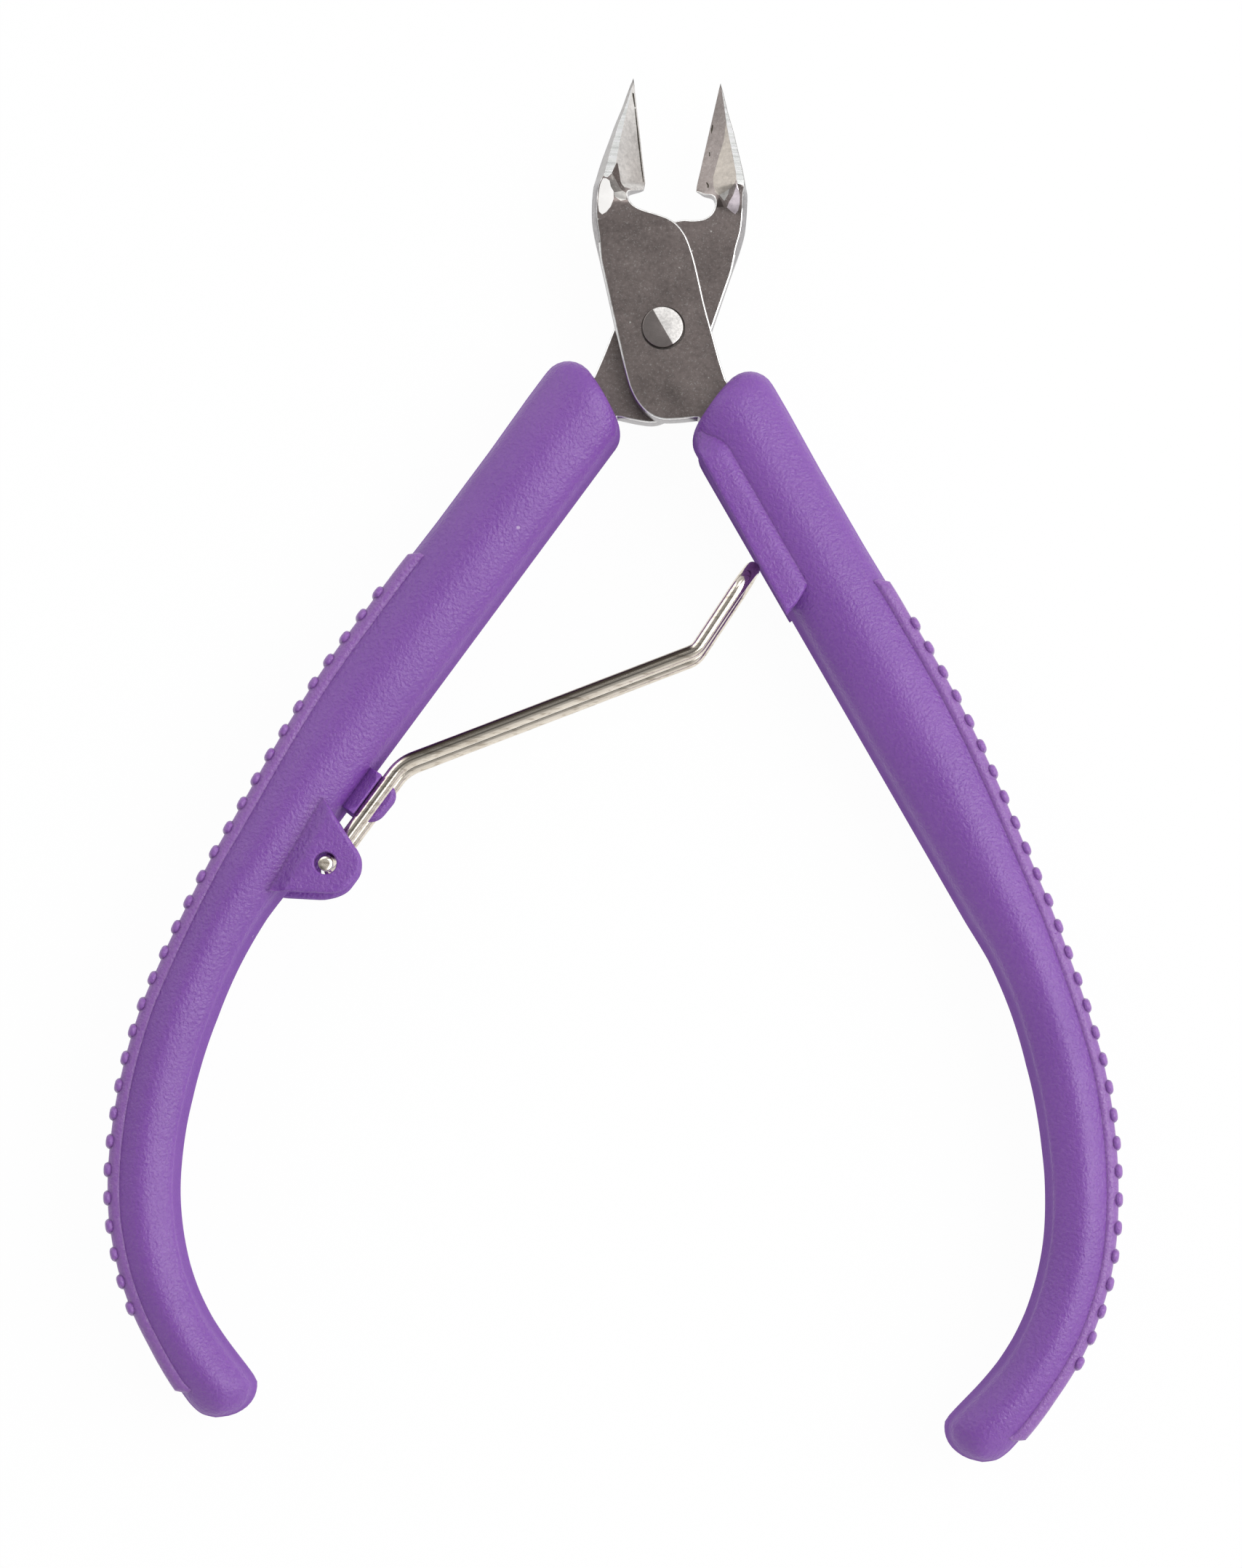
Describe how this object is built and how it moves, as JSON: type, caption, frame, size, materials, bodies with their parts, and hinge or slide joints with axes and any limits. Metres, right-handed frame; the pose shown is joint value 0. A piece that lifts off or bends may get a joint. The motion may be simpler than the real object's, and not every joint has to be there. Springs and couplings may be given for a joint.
{
  "type": "flush cutter",
  "caption": "Hand-held flush cutter: two riveted steel half-blades with pointed jaws, soft bowed grips with studded treads, and a bent-wire spring that opens the handles.",
  "frame": {"origin": "middle of the tool's bounding box on its underside, lying flat with the jaws open", "axes": "+Y from the grips to the jaw tips, +X to the right handle, +Z out of the front face, along the pivot axis"},
  "size_m": [0.0914, 0.1242, 0.01],
  "materials": {
    "blade_steel": "satin, bright ground edges",
    "rivet_steel": "brushed",
    "grip_purple": "soft, leather grained",
    "tread_purple": "matt",
    "spring_steel": "polished nickel"
  },
  "bodies": {
    "front_half": {"front_blade": "blade_steel", "right_grip": "grip_purple", "right_tread": "tread_purple", "pivot_rivet": "rivet_steel"},
    "rear_half": {"rear_blade": "blade_steel", "left_grip": "grip_purple", "left_tread": "tread_purple", "spring_base": "spring_steel"},
    "spring_arm": {"spring_arm": "spring_steel"}
  },
  "joints": [
    {"name": "handle_pivot", "type": "hinge", "parent": "front_half", "child": "rear_half", "pos_m": [0, 0.03833, 0.005], "axis": [0, 0, 1], "range_deg": [0, 19], "stiffness_Nm_per_rad": 0.8, "springref_deg": -2.86},
    {"name": "spring_flex", "type": "hinge", "parent": "rear_half", "child": "spring_arm", "pos_m": [-0.01571, -0.00042, 0.005], "axis": [0, 0, 1], "range_deg": [0, 26.3]}
  ],
  "couplings": [
    {"joint": "spring_flex", "follows": "handle_pivot", "ratio": 1.3802}
  ]
}
